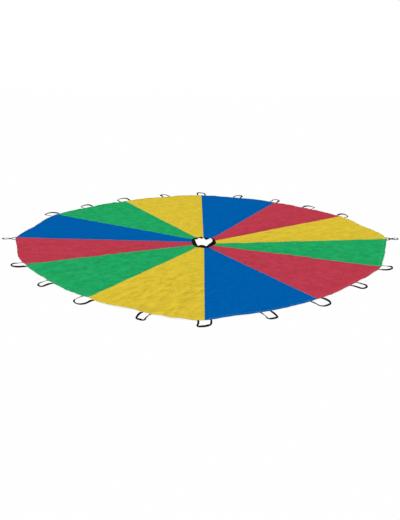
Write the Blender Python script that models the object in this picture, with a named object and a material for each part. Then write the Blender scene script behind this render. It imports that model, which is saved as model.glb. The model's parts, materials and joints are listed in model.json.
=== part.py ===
# A round play parachute laid out on the floor: twelve cloth gores sewn edge to edge,
# a hem round the rim, an open crown bound with tape, and webbing hand loops sewn
# under the hem. +Z is up, +Y is away from the side that is seen, the floor is Z = 0.
import math

import bmesh
import bpy
from mathutils import Vector

# Canopy, in metres.
CANOPY_RADIUS = 3.0
CLOTH_THICKNESS = 0.0005
PILLOW_HEIGHT = 0.010
SEAM_WIDTH = 0.012
SEAM_THICKNESS = 0.0005
SEAM_SHOULDER = 0.001
HEM_WIDTH = 0.045
HEM_THICKNESS = 0.0012
HEM_SHOULDER = 0.004

# Crown hole and its tape.
CROWN_HALF_WIDTH = 0.140
CROWN_HALF_LENGTH = 0.225
CROWN_LIFT = 0.030
MOUND_RUN = 0.300
TAPE_WIDTH = 0.058
TAPE_THICKNESS = 0.0010
TAPE_FOLD_ROOM = 0.0006  # from the cloth's edge to the inside of the fold

# Webbing inside the hem, all round the rim, up to the row of stitches that closes it.
RIM_WEBBING_ROOM = 0.007  # from the webbing's inner edge to the hem's inner edge
RIM_WEBBING_WIDTH = HEM_WIDTH - RIM_WEBBING_ROOM
RIM_WEBBING_THICKNESS = 0.0015

# Hand loops of flat webbing.
STRAP_WIDTH = 0.025
STRAP_THICKNESS = 0.0015
LOOP_SPAN = 0.165  # between the middles of its two feet
LOOP_REACH = 0.205
LOOP_GRIP = 0.030
LOOP_FLAT_START = 0.014
LOOP_TWIST_LENGTH = 0.085

# Sewing thread.
THREAD_WIDTH = 0.0008
THREAD_HEIGHT = 0.0004
SEAM_STITCH_INSET = 0.0025
HEM_STITCH_INSET = 0.004
TAPE_STITCH_INSET = 0.005
SEAM_STITCH_END_ROOM = 0.001  # from the crown's tape and from the hem

# Space left between pieces that touch.
GAP = 0.0003

# How the cloth lies, about a middle that is placed so that the origin is the centre of
# the floor that the whole toy covers. Places are shares of the canopy's radius.
LAY_PLACE_SHARES = (-0.0042, 0.0338)
# Each seam's outer end, by bearing clockwise from +Y in degrees and by reach.
SEAM_BEARINGS = (-0.3, 28.9, 58.5, 88.1, 117.3, 150.7, 179.0, 207.7, 240.8, 269.0, 299.1, 329.5)
SEAM_REACH_SHARES = (1.051, 0.983, 0.990, 1.009, 0.971, 1.008,
                     1.121, 1.005, 0.955, 0.996, 1.006, 0.989)
# How far each gore's rim stands out from the straight line between its seams: as one
# half wave, as a whole wave, and as a wave and a half.
RIM_WAVE_SHARES = ((0.030, -0.006, 0.002), (0.015, 0.001, -0.002), (0.016, -0.005, 0.006),
                   (0.004, -0.001, 0.000), (0.024, -0.001, 0.005), (0.026, 0.004, 0.001),
                   (0.045, 0.003, 0.011), (0.032, 0.002, 0.005), (0.018, 0.006, 0.003),
                   (0.010, -0.003, 0.004), (0.017, 0.001, -0.001), (0.034, -0.002, 0.004))
# The crown hole lies off centre and is pulled into an uneven shape. Its edge passes
# through two places for each gore, at the gore's first seam and halfway to the next, as
# shares of the hole's half width and half length.
CROWN_PLACE_SHARES = (0.012, -0.082)
CROWN_EDGE_SHARES = ((0.00, 0.90), (0.32, 0.80), (0.76, 0.92), (0.95, 0.74),
                     (1.00, 0.47), (1.02, 0.16), (0.97, -0.15), (0.83, -0.33),
                     (0.69, -0.48), (0.54, -0.68), (0.42, -0.90), (0.26, -1.07),
                     (0.08, -1.03), (-0.26, -0.95), (-0.60, -1.00), (-0.69, -0.70),
                     (-0.78, -0.40), (-0.85, -0.10), (-0.91, 0.18), (-0.96, 0.48),
                     (-0.97, 0.76), (-0.74, 0.90), (-0.51, 0.95), (-0.20, 1.02))
# How far the hole's curve runs on along each place's own direction, as a share of the
# distance between the places on its two sides.
CROWN_CURVE_SHARE = 1 / 6

COLOURS = ("blue", "red", "yellow", "green", "red", "blue",
           "yellow", "green", "red", "blue", "green", "yellow")
GORES = len(COLOURS)
# The hand loops, clockwise from the far seam: where each is sewn to the rim, with whole
# numbers for the seams and the rest between them, its span and its reach as shares of
# the full ones, and how far it leans along the rim as a share of its own reach.
LOOP_LAY_SHARES = ((0.00, 0.93, 1.00, -0.18), (0.475, 0.89, 0.88, 0.06),
                   (0.98, 0.89, 1.05, -0.28), (1.48, 1.12, 0.90, -0.03),
                   (2.01, 1.10, 0.78, -0.22), (3.00, 0.80, 0.92, -0.15),
                   (4.02, 1.20, 0.78, -0.20), (4.53, 0.94, 0.94, 0.18),
                   (5.02, 1.15, 1.08, 0.16), (5.51, 0.80, 1.10, 0.07),
                   (6.00, 0.92, 0.95, 0.24), (6.44, 0.73, 1.02, -0.24),
                   (6.99, 1.24, 1.05, -0.16), (7.48, 0.85, 0.91, -0.24),
                   (8.00, 1.22, 0.88, 0.20), (8.97, 0.82, 0.98, 0.05),
                   (9.98, 1.17, 0.93, -0.08), (10.47, 1.16, 0.86, 0.12),
                   (11.00, 1.24, 1.10, 0.19), (11.55, 0.83, 1.00, -0.05))

ACROSS = 6  # cloth facets from seam to seam
MOUND_ROW_SHARES = (0.40, 0.67, 1.00)
FIELD_ROW_SHARES = (0.33, 0.67)
TWIST_STEPS = 4
BEND_STEPS = 5
WALK_STEP_SHARE = 0.0005  # of a gore's rim, in looking for a loop's feet

HEM_SEAT = RIM_WEBBING_THICKNESS + GAP  # the hem's underside, over the rim's webbing
HEM_TOP = HEM_SEAT + HEM_THICKNESS
AXIS_HEIGHT = HEM_TOP  # a loop hinges at the hem's top edge
UP = Vector((0, 0, 1))


def on_bearing(bearing, reach):
    angle = math.radians(bearing)
    return Vector((math.sin(angle) * reach, math.cos(angle) * reach, 0))


def share_place(shares):
    return Vector((shares[0] * CANOPY_RADIUS, shares[1] * CANOPY_RADIUS, 0))


LAY_PLACE = share_place(LAY_PLACE_SHARES)
SEAM_ENDS = [LAY_PLACE + on_bearing(bearing, reach * CANOPY_RADIUS)
             for bearing, reach in zip(SEAM_BEARINGS, SEAM_REACH_SHARES)]
CROWN_PLACE = LAY_PLACE + share_place(CROWN_PLACE_SHARES)
CROWN_EDGE = [CROWN_PLACE + Vector((x * CROWN_HALF_WIDTH, y * CROWN_HALF_LENGTH, 0))
              for x, y in CROWN_EDGE_SHARES]


def rim_point(gore, across):
    """A point of the rim, from across = 0 at the gore's first seam to 1 at its second."""
    a, b = SEAM_ENDS[gore % GORES], SEAM_ENDS[(gore + 1) % GORES]
    outward = (b - a).cross(UP).normalized() * -1
    wave = sum(share * math.sin(n * math.pi * across)
               for n, share in enumerate(RIM_WAVE_SHARES[gore % GORES], 1))
    return a.lerp(b, across) + outward * wave * CANOPY_RADIUS


def crown_point(gore, across):
    """A point of the crown hole's edge, on a smooth closed curve through its places."""
    first, along = divmod(2 * (gore + across), 1)
    before, a, b, after = (CROWN_EDGE[(int(first) + k) % len(CROWN_EDGE)] for k in (-1, 0, 1, 2))
    points = [a, a + (b - before) * CROWN_CURVE_SHARE, b - (after - a) * CROWN_CURVE_SHARE, b]
    while points[1:]:
        points = [p.lerp(q, along) for p, q in zip(points, points[1:])]
    return points[0]


def mound(inward):
    """The cloth's height at a distance out from the crown hole's edge."""
    return CROWN_LIFT * (1 - min(max(inward, 0) / MOUND_RUN, 1)) ** 2


class Row:
    """One line of cloth points round the canopy, at a fixed place between crown and rim."""

    def __init__(self, kind, at):
        self.kind, self.at = kind, at

    def distance(self, length):
        field = length - HEM_WIDTH - HEM_SHOULDER - MOUND_RUN
        return {"crown": self.at, "field": MOUND_RUN + self.at * field,
                "rim": length - self.at}[self.kind]

    def height(self, across):
        if self.kind == "crown":
            return mound(self.at)
        if self.kind == "rim":
            return HEM_SEAT if self.at <= HEM_WIDTH else 0
        return PILLOW_HEIGHT * 4 * across * (1 - across)

    def in_hem(self):
        return self.kind == "rim" and self.at <= HEM_WIDTH


TAPE_ROWS = [Row("crown", 0), Row("crown", TAPE_WIDTH)]
ROWS = (TAPE_ROWS + [Row("crown", s * MOUND_RUN) for s in MOUND_ROW_SHARES]
        + [Row("field", s) for s in FIELD_ROW_SHARES]
        + [Row("rim", d) for d in (HEM_WIDTH + HEM_SHOULDER, HEM_WIDTH, 0)])


def cloth_point(gore, across, row):
    inner, outer = crown_point(gore, across), rim_point(gore, across)
    way = outer - inner
    return inner + way.normalized() * row.distance(way.length)


def seam_side(gore):
    """The direction from a gore's first seam into the gore, square to the seam."""
    way = rim_point(gore, 0) - crown_point(gore, 0)
    return UP.cross(way).normalized() * -1


def gore_line(gore, row):
    """(point, cloth thickness, across) along one row of a gore, seam to seam."""
    points = [cloth_point(gore, n / ACROSS, row) for n in range(ACROSS + 1)]
    points[0] += seam_side(gore) * GAP / 2
    points[-1] -= seam_side(gore + 1) * GAP / 2
    along = (points[1] - points[0]).normalized()
    cloth = HEM_THICKNESS if row.in_hem() else CLOTH_THICKNESS
    line = [(points[0], cloth + SEAM_THICKNESS, 0),
            (points[0] + along * SEAM_WIDTH, cloth + SEAM_THICKNESS, 0),
            (points[0] + along * (SEAM_WIDTH + SEAM_SHOULDER), cloth, 0)]
    return line + [(p, cloth, (n + 1) / ACROSS) for n, p in enumerate(points[1:])]


def new_mesh(name, build):
    mesh = bpy.data.meshes.new(name)
    bm = bmesh.new()
    build(bm)
    bmesh.ops.recalc_face_normals(bm, faces=bm.faces)
    bm.to_mesh(mesh)
    bm.free()
    return mesh


def place_object(name, mesh, material, place=(0, 0, 0), turn=0.0):
    thing = bpy.data.objects.new(name, mesh)
    if not mesh.materials:
        mesh.materials.append(material)
    thing.location = place
    thing.rotation_euler = (0, 0, turn)
    bpy.context.scene.collection.objects.link(thing)


def mesh_object(name, build, material):
    place_object(name, new_mesh(name, build), material)


def add_sleeve(bm, sections, closed=False):
    """Joins like sections into one skin, capped at its ends unless it closes on itself."""
    rings = [[bm.verts.new(p) for p in section] for section in sections]
    pairs = list(zip(rings, rings[1:])) + ([(rings[-1], rings[0])] if closed else [])
    for a, b in pairs:
        for n in range(len(a)):
            m = (n + 1) % len(a)
            bm.faces.new((a[n], a[m], b[m], b[n]))
    if not closed:
        bm.faces.new(rings[0])
        bm.faces.new(reversed(rings[-1]))


def add_strip(bm, near, far):
    """Triangles between two rows of corners, with every cell split the same way."""
    for a, b, c, d in zip(near, near[1:], far[1:], far):
        bm.faces.new((a, b, c))
        bm.faces.new((a, c, d))


def add_thread(bm, points, side, closed=False):
    """A flat line of thread whose underside passes through the points."""
    half = THREAD_WIDTH / 2
    sections = []
    for p, s in zip(points, side):
        low, high = p - s * half, p + s * half
        sections.append([low, high, high + UP * THREAD_HEIGHT, low + UP * THREAD_HEIGHT])
    add_sleeve(bm, sections, closed)


def build_gore(gore):
    def build(bm):
        under, over = [], []
        for row in ROWS:
            line = gore_line(gore, row)
            lows = [p + UP * row.height(across) for p, _, across in line]
            under.append([bm.verts.new(p) for p in lows])
            over.append([bm.verts.new(p + UP * t) for p, (_, t, _) in zip(lows, line)])
        last_row, last = len(ROWS) - 1, len(under[0]) - 1
        for grid in (under, over):
            add_strip(bm, grid[0], grid[1])
            for i in range(1, last_row):
                for j in range(last):
                    bm.faces.new((grid[i][j], grid[i][j + 1], grid[i + 1][j + 1], grid[i + 1][j]))
        for i in range(last_row):
            for j in (0, last):
                bm.faces.new((under[i][j], under[i + 1][j], over[i + 1][j], over[i][j]))
        for i in (0, last_row):
            for j in range(last):
                bm.faces.new((under[i][j], under[i][j + 1], over[i][j + 1], over[i][j]))
    return build


def tape_stations():
    """(point on the hole's edge, way out along the cloth per metre) all round the crown.

    They lie over the cloth's own points, so that the tape bends where the cloth does."""
    for gore in range(GORES):
        lines = [gore_line(gore, row)[:-1] for row in TAPE_ROWS]
        for (inner, _, _), (outer, _, _) in zip(*lines):
            yield inner, (outer - inner) / TAPE_WIDTH


TAPE_UNDER = CLOTH_THICKNESS + SEAM_THICKNESS + GAP  # over the cloth's underside
TAPE_TOP = TAPE_UNDER + TAPE_THICKNESS


def build_binding(bm):
    """Tape folded over the cloth's edge, so that it lies above and below it."""
    fold_in, fold_out = -TAPE_FOLD_ROOM - TAPE_THICKNESS, -TAPE_FOLD_ROOM
    profile = [(TAPE_WIDTH, TAPE_TOP), (0, TAPE_TOP), (fold_in, TAPE_TOP),
               (fold_in, -GAP - TAPE_THICKNESS), (0, -GAP - TAPE_THICKNESS),
               (TAPE_WIDTH, -GAP - TAPE_THICKNESS),
               (TAPE_WIDTH, -GAP), (0, -GAP), (fold_out, -GAP),
               (fold_out, TAPE_UNDER), (0, TAPE_UNDER), (TAPE_WIDTH, TAPE_UNDER)]
    stations = list(tape_stations())
    rings = []
    for distance, offset in profile:
        lift = UP * (mound(distance) + offset)
        ring = [bm.verts.new(inner + out * distance + lift) for inner, out in stations]
        rings.append(ring + ring[:1])
    for n, ring in enumerate(rings):
        near, far = sorted((n, (n + 1) % len(rings)), key=lambda k: profile[k][0])
        add_strip(bm, rings[near], rings[far])


def build_tape_stitching(bm):
    share = 1 - TAPE_STITCH_INSET / TAPE_WIDTH
    height = (1 - share) * mound(0) + share * mound(TAPE_WIDTH) + TAPE_TOP + GAP
    stations = list(tape_stations())
    points = [inner + out * share * TAPE_WIDTH + UP * height for inner, out in stations]
    # the thread leans with the tape, so its outer edge lies lower
    slope = (mound(TAPE_WIDTH) - mound(0)) / TAPE_WIDTH
    add_thread(bm, points, [out + UP * slope for _, out in stations], closed=True)


def build_seam_stitching(gore):
    """Two rows of thread along a seam, joined where they end."""
    def build(bm):
        side = seam_side(gore)
        way = (rim_point(gore, 0) - crown_point(gore, 0)).normalized()
        rows = ([Row("crown", TAPE_WIDTH + SEAM_STITCH_END_ROOM)]
                + [Row("crown", share * MOUND_RUN) for share in MOUND_ROW_SHARES]
                + [Row("rim", HEM_WIDTH + HEM_SHOULDER + SEAM_STITCH_END_ROOM)])
        points, outward = [], []
        for inset, order, edge in ((SEAM_STITCH_INSET, rows, -1),
                                   (SEAM_WIDTH - SEAM_STITCH_INSET, rows[::-1], 1)):
            for row in order:
                height = row.height(0) + CLOTH_THICKNESS + SEAM_THICKNESS + GAP
                (start, _, _), (ridge, _, _) = gore_line(gore, row)[:2]
                points.append(start + (ridge - start).normalized() * inset + UP * height)
                end = {rows[0]: -1, rows[-1]: 1}.get(row, 0)
                outward.append(side * edge + way * end)
        add_thread(bm, points, outward, closed=True)
    return build


def build_hem_stitching(bm):
    """One row of thread all round the hem, up and over each seam."""
    row = Row("rim", HEM_WIDTH - HEM_STITCH_INSET)
    points, outward = [], []
    for gore in range(GORES):
        for point, cloth, across in gore_line(gore, row):
            points.append(point + UP * (row.height(across) + cloth + GAP))
            outward.append((rim_point(gore, across) - crown_point(gore, across)).normalized())
    add_thread(bm, points, outward, closed=True)


def build_rim_webbing(bm):
    """Flat webbing that lies on the floor inside the hem, all round the rim."""
    edges = [Row("rim", GAP), Row("rim", GAP + RIM_WEBBING_WIDTH)]
    sections = []
    for gore in range(GORES):
        for n in range(ACROSS):
            outer, inner = (cloth_point(gore, n / ACROSS, row) for row in edges)
            top = UP * RIM_WEBBING_THICKNESS
            sections.append([outer, inner, inner + top, outer + top])
    add_sleeve(bm, sections, closed=True)


def rim_at(place):
    """A point of the rim's facets by one number: whole numbers are seams, halves are
    gore middles."""
    facet = math.floor(place * ACROSS)
    gore, first = divmod(facet, ACROSS)
    a, b = rim_point(gore, first / ACROSS), rim_point(gore, (first + 1) / ACROSS)
    return a.lerp(b, place * ACROSS - facet)


def walk_rim(place, distance):
    """The rim place at a straight distance before (-) or after (+) another."""
    step = math.copysign(WALK_STEP_SHARE, distance)
    here, goal = rim_at(place), place
    while (rim_at(goal) - here).length < abs(distance):
        goal += step
    return goal


def loop_frame(place, span):
    """(midpoint of a loop's hinge line, direction along it, direction out) at a rim place.

    The hinge line runs just outside all of the hem that lies over the loop's two feet."""
    half, edge = span / 2, STRAP_WIDTH / 2
    feet = [rim_at(walk_rim(place, side * half)) for side in (-1, 1)]
    along = (feet[1] - feet[0]).normalized()
    out = UP.cross(along)
    middle = feet[0].lerp(feet[1], 0.5)
    over = [rim_at(walk_rim(place, side * (half + across)))
            for side in (-1, 1) for across in (-edge, 0, edge)]
    proud = max((p - middle).dot(out) for p in over)
    return middle + out * (proud + GAP), along, out


def loop_stations(span, reach, lean):
    """(x, y, travel direction, share of the quarter twist) down one loop's middle line.

    X runs along the rim and Y out from it. The strap leaves the hem flat, turns on to
    its edge down each leg, and stands on edge round the bends and the grip. The whole
    loop bends over to one side by its lean."""
    x, bend = span / 2, (span - LOOP_GRIP) / 2
    leg_end = reach - bend
    leg = [(0, 0)]
    for n in range(TWIST_STEPS + 1):
        leg.append((LOOP_FLAT_START + n / TWIST_STEPS * LOOP_TWIST_LENGTH, n / TWIST_STEPS))
    half = [(-x, y, 0, twist) for y, twist in leg if y < leg_end]
    twisted = half[-1][-1]
    for n in range(BEND_STEPS + 1):
        turn = n / BEND_STEPS * math.pi / 2
        half.append((-x + bend * (1 - math.cos(turn)), leg_end + bend * math.sin(turn), turn,
                     min(twisted + (1 - twisted) * 2 * n / BEND_STEPS, 1)))
    path = half + [(-px, py, math.pi - turn, twist) for px, py, turn, twist in reversed(half)]
    for px, py, turn, twist in path:
        out = py / reach
        travel = Vector((math.sin(turn) + math.cos(turn) * 2 * out * lean / reach,
                         math.cos(turn), 0)).normalized()
        yield px + lean * out ** 2, py, travel, twist


def loop_layouts():
    """(rim place, span, reach to the strap's middle, lean) of each hand loop."""
    for place, span_share, reach_share, lean_share in LOOP_LAY_SHARES:
        reach = reach_share * LOOP_REACH
        yield place, span_share * LOOP_SPAN, reach - STRAP_THICKNESS / 2, lean_share * reach


def build_loop(span, reach, lean):
    """A loop in its hinge's frame, with its lowest edge on the floor."""
    def build(bm):
        sections = []
        for x, y, travel, share in loop_stations(span, reach, lean):
            twist = share * math.pi / 2
            side = UP.cross(travel)
            wide = (side * math.cos(twist) - UP * math.sin(twist)) * STRAP_WIDTH / 2
            thick = (UP * math.cos(twist) + side * math.sin(twist)) * STRAP_THICKNESS / 2
            middle = Vector((x, y, abs(wide.z) + abs(thick.z) - AXIS_HEIGHT))
            sections.append([middle - wide - thick, middle + wide - thick,
                             middle + wide + thick, middle - wide + thick])
        add_sleeve(bm, sections)
    return build


def cloth(colour_name, colour):
    return finish(f"polyester_{colour_name}", colour, 0.55)


def finish(name, colour, roughness):
    material = bpy.data.materials.new(name)
    material.use_nodes = True
    shader = material.node_tree.nodes["Principled BSDF"]
    shader.inputs["Base Color"].default_value = (*colour, 1)
    shader.inputs["Roughness"].default_value = roughness
    shader.inputs["Metallic"].default_value = 0
    return material


def build_parachute():
    cloths = {"blue": cloth("blue", (0.003, 0.110, 0.402)),
              "red": cloth("red", (0.515, 0.043, 0.070)),
              "yellow": cloth("yellow", (0.730, 0.546, 0.038)),
              "green": cloth("green", (0.013, 0.376, 0.114))}
    webbing = finish("polypropylene_webbing", (0.010, 0.010, 0.011), 0.60)
    thread = finish("polyester_thread", (0.60, 0.60, 0.58), 0.50)
    black_thread = finish("black_polyester_thread", (0.012, 0.012, 0.013), 0.50)

    for gore, colour in enumerate(COLOURS):
        mesh_object(f"gore_{gore + 1:02d}", build_gore(gore), cloths[colour])
    mesh_object("crown_binding", build_binding, webbing)
    mesh_object("crown_stitching", build_tape_stitching, black_thread)
    mesh_object("rim_webbing", build_rim_webbing, webbing)
    mesh_object("hem_stitching", build_hem_stitching, thread)
    for gore in range(GORES):
        mesh_object(f"seam_stitching_{gore + 1:02d}", build_seam_stitching(gore), thread)
    for number, (place, span, reach, lean) in enumerate(loop_layouts(), 1):
        middle, along, _ = loop_frame(place, span)
        middle.z = AXIS_HEIGHT
        turn = math.atan2(along.y, along.x)
        name = f"handle_{number:02d}"
        place_object(name, new_mesh(name, build_loop(span, reach, lean)), webbing, middle, turn)


for old in list(bpy.data.objects):
    bpy.data.objects.remove(old)
build_parachute()
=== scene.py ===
# A round play parachute of polyester taffeta lying on a white floor: twelve gores with
# felled seams and a turned hem, a taped crown hole, and webbing hand loops sewn under
# the hem. Metres, +Z up, the photographed side towards -Y.
import json
import math

import bpy
import numpy as np
from mathutils import Matrix


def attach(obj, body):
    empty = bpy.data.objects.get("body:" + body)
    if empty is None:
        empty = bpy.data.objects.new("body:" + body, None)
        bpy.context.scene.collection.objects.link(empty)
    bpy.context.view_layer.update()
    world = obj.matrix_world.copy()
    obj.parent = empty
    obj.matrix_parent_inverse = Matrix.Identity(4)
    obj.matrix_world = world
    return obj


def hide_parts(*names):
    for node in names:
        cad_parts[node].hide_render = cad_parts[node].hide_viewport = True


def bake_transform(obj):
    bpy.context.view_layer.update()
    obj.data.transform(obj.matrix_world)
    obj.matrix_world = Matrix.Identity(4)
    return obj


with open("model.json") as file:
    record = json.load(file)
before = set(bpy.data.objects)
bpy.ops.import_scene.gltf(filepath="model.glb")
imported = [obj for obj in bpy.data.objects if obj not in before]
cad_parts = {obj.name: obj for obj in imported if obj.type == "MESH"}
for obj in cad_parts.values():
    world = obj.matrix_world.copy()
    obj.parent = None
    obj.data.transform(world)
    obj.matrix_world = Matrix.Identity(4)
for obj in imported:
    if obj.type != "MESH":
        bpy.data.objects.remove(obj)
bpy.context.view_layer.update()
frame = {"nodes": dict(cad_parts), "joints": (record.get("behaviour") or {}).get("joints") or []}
mm = 0.001
print("frame loaded:", len(frame["nodes"]), "nodes")

# The camera stands 10.8 m from the middle, low, as the photograph was taken.
camera = {
    "place": (0.019, -10.751, 3.185),
    "tilt": 71.91,      # degrees up from looking straight down
    "roll": 0.62,       # degrees
    "lens": 48.46,      # mm on a 36 mm frame height
    "shiftAcross": -0.0058,
}


def makeCamera():
    data = bpy.data.cameras.new("camera")
    data.lens = camera["lens"]
    data.shift_x = camera["shiftAcross"]
    data.clip_end = 200
    eye = bpy.data.objects.new("camera", data)
    tilt = Matrix.Rotation(math.radians(camera["tilt"]), 4, "X")
    roll = Matrix.Rotation(math.radians(camera["roll"]), 4, "Z")
    eye.matrix_world = Matrix.Translation(camera["place"]) @ tilt @ roll
    bpy.context.scene.collection.objects.link(eye)
    bpy.context.scene.camera = eye


# Colours, nodes and meshes

def linear(hexColour):
    channels = [int(hexColour[i:i + 2], 16) / 255 for i in (1, 3, 5)]
    return [c / 12.92 if c <= 0.04045 else ((c + 0.055) / 1.055) ** 2.4 for c in channels] + [1]


def addNode(tree, kind, settings, links={}):
    # a setting is the node's own option or the value of a socket, by its name or number
    node = tree.nodes.new(kind)
    for key, value in settings.items():
        if isinstance(key, str) and hasattr(node, key):
            setattr(node, key, value)
        else:
            node.inputs[key].default_value = value
    for key, source in links.items():
        tree.links.new(source, node.inputs[key])
    return node


def startMaterial(name):
    material = bpy.data.materials.new(name)
    material.use_nodes = True
    tree = material.node_tree
    return material, tree, tree.nodes["Principled BSDF"]


def meshPiece(name, points, faces, place, material):
    # place holds metres along and across the cloth or webbing, for its weave
    mesh = bpy.data.meshes.new(name)
    mesh.from_pydata(points.reshape(-1, 3).tolist(), [], faces.tolist())
    attribute = mesh.attributes.new("place", "FLOAT_VECTOR", "POINT")
    attribute.data.foreach_set("vector", place.reshape(-1).astype(np.float32))
    mesh.shade_smooth()
    mesh.materials.append(material)
    piece = bpy.data.objects.new(name, mesh)
    bpy.context.scene.collection.objects.link(piece)
    return piece


def gridFaces(rows, columns, closedAlong=False, closedAcross=False):
    index = np.arange(rows * columns).reshape(rows, columns)
    if closedAlong:
        index = np.vstack([index, index[:1]])
    if closedAcross:
        index = np.hstack([index, index[:, :1]])
    return np.stack([index[:-1, :-1], index[:-1, 1:], index[1:, 1:], index[1:, :-1]],
                    -1).reshape(-1, 4)


def unit(vectors):
    return vectors / np.linalg.norm(vectors, axis=-1, keepdims=True)


def travelAlong(line):
    # metres from a line's first point to each of its points
    return np.concatenate([[0], np.cumsum(np.linalg.norm(np.diff(line, axis=0), axis=1))])


def ribbonPlace(width, travel):
    # metres across and along a strip, at each of its points
    across, along = np.broadcast_arrays(width, travel[:, None])
    return np.stack([across, along, 0 * along], -1)


def gradientNoise(x, y, seed):
    # smooth noise from about -1 to 1, with features one unit across
    cellX, cellY = np.floor(x), np.floor(y)
    dx, dy = x - cellX, y - cellY

    def corner(i, j):
        mixed = np.sin((cellX + i) * 127.1 + (cellY + j) * 311.7 + seed * 74.7) * 43758.5453
        angle = (mixed - np.floor(mixed)) * 2 * np.pi
        return np.cos(angle) * (dx - i) + np.sin(angle) * (dy - j)

    u, v = (d * d * d * (d * (d * 6 - 15) + 10) for d in (dx, dy))
    low = corner(0, 0) * (1 - u) + corner(1, 0) * u
    high = corner(0, 1) * (1 - u) + corner(1, 1) * u
    return (low * (1 - v) + high * v) * 1.5


def patches(x, y, size, seed):
    # from about 0.1 to 1, in patches of one size
    return 0.55 + 0.45 * gradientNoise(x / size, y / size, seed)


def creases(x, y, size, seed, sharpness):
    # narrow bent ridges with flats between them, as stiff thin cloth crumples
    wander = 0.45 * size
    bentX = x + wander * gradientNoise(x / size * 0.8, y / size * 0.8, seed + 11)
    bentY = y + wander * gradientNoise(x / size * 0.8, y / size * 0.8, seed + 23)
    return np.clip(1 - np.abs(gradientNoise(bentX / size, bentY / size, seed)), 0, 1) ** sharpness


def fade(value, start, end):
    # 0 before start, 1 after end, smooth between
    t = np.clip((value - start) / (end - start), 0, 1)
    return t * t * (3 - 2 * t)


# How the canopy is laid out. Seams go clockwise from the far one. Their reach is a share
# of the radius, and so is how far each gore's rim stands out from the straight line
# between its seams: as one half wave, a whole wave, and a wave and a half.
canopy = {
    "radius": 3.0,
    "layPlace": (-0.0126, 0.1014),
    "seamBearings": (-0.3, 28.9, 58.5, 88.1, 117.3, 150.7, 179.0, 207.7, 240.8, 269.0, 299.1, 329.5),
    "seamReachShares": (1.051, 0.983, 0.990, 1.009, 0.971, 1.008,
                        1.121, 1.005, 0.955, 0.996, 1.006, 0.989),
    "rimWaves": ((0.030, -0.006, 0.002), (0.015, 0.001, -0.002), (0.016, -0.005, 0.006),
                 (0.004, -0.001, 0.000), (0.024, -0.001, 0.005), (0.026, 0.004, 0.001),
                 (0.045, 0.003, 0.011), (0.032, 0.002, 0.005), (0.018, 0.006, 0.003),
                 (0.010, -0.003, 0.004), (0.017, 0.001, -0.001), (0.034, -0.002, 0.004)),
    "colours": ("blue", "red", "yellow", "green", "red", "blue",
                "yellow", "green", "red", "blue", "green", "yellow"),
}
gores = len(canopy["colours"])

# The crown hole's edge at each seam and halfway to the next: across and along as shares
# of its half size, then how high the edge and the tape's outer edge stand, in mm. The
# tape stands up as a collar, and some of it hangs into the hole.
crown = {
    "placeShares": (0.012, -0.082),
    "halfWidth": 0.140,
    "halfLength": 0.225,
    "edge": ((0.00, 0.90, 30, 16), (0.32, 0.80, 4, 22), (0.76, 0.92, 26, 8), (0.95, 0.74, 26, 6),
             (1.00, 0.47, 30, 4), (1.02, 0.16, 34, 3), (0.97, -0.15, 36, 4), (0.83, -0.33, 32, 6),
             (0.69, -0.48, 28, 6), (0.54, -0.68, 24, 10), (0.42, -0.90, 22, 14), (0.26, -1.07, 24, 12),
             (0.08, -1.03, 34, 10), (-0.26, -0.95, 36, 12), (-0.60, -1.00, 26, 20),
             (-0.69, -0.70, 22, 12), (-0.78, -0.40, 20, 4), (-0.85, -0.10, 18, 3),
             (-0.91, 0.18, 18, 3), (-0.96, 0.48, 14, 3), (-0.97, 0.76, 10, 4),
             (-0.74, 0.90, 6, 12), (-0.51, 0.95, 26, 14), (-0.20, 1.02, 6, 20)),
    "tapeWidth": 58 * mm,
    "moundRun": 0.300,
    "curveShare": 1 / 6,
}


def onBearing(bearing, reach):
    angle = math.radians(bearing)
    return np.array([math.sin(angle) * reach, math.cos(angle) * reach])


layPlace = np.array(canopy["layPlace"])
crownPlace = layPlace + np.array(crown["placeShares"]) * canopy["radius"]
seamEnds = [layPlace + onBearing(bearing, share * canopy["radius"])
            for bearing, share in zip(canopy["seamBearings"], canopy["seamReachShares"])]
crownPlaces = (np.array([*crownPlace, 0, 0])
               + np.array(crown["edge"]) * (crown["halfWidth"], crown["halfLength"], mm, mm))
rimChords = [np.linalg.norm(seamEnds[(k + 1) % gores] - seamEnds[k]) for k in range(gores)]
rimStarts = [sum(rimChords[:k]) for k in range(gores + 1)]


def rimEdge(gore, across):
    a, b = seamEnds[gore % gores], seamEnds[(gore + 1) % gores]
    along = unit(b - a)
    outward = np.array([-along[1], along[0]])
    wave = canopy["radius"] * sum(share * np.sin(n * math.pi * across) for n, share
                                  in enumerate(canopy["rimWaves"][gore % gores], 1))
    return a + (b - a) * across[..., None] + outward * wave[..., None]


def crownEdge(gore, across):
    # x, y, the edge's height and the tape's outer edge's height
    place = 2 * (gore + across)
    first = np.floor(place).astype(int)
    before, a, b, after = (crownPlaces[(first + k) % len(crownPlaces)] for k in (-1, 0, 1, 2))
    points = [a, a + (b - before) * crown["curveShare"], b - (after - a) * crown["curveShare"], b]
    t = (place - first)[..., None]
    while points[1:]:
        points = [p * (1 - t) + q * t for p, q in zip(points, points[1:])]
    return points[0]


def reachOf(gore, across):
    return np.linalg.norm(rimEdge(gore, across) - crownEdge(gore, across)[..., :2], axis=-1)


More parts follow.
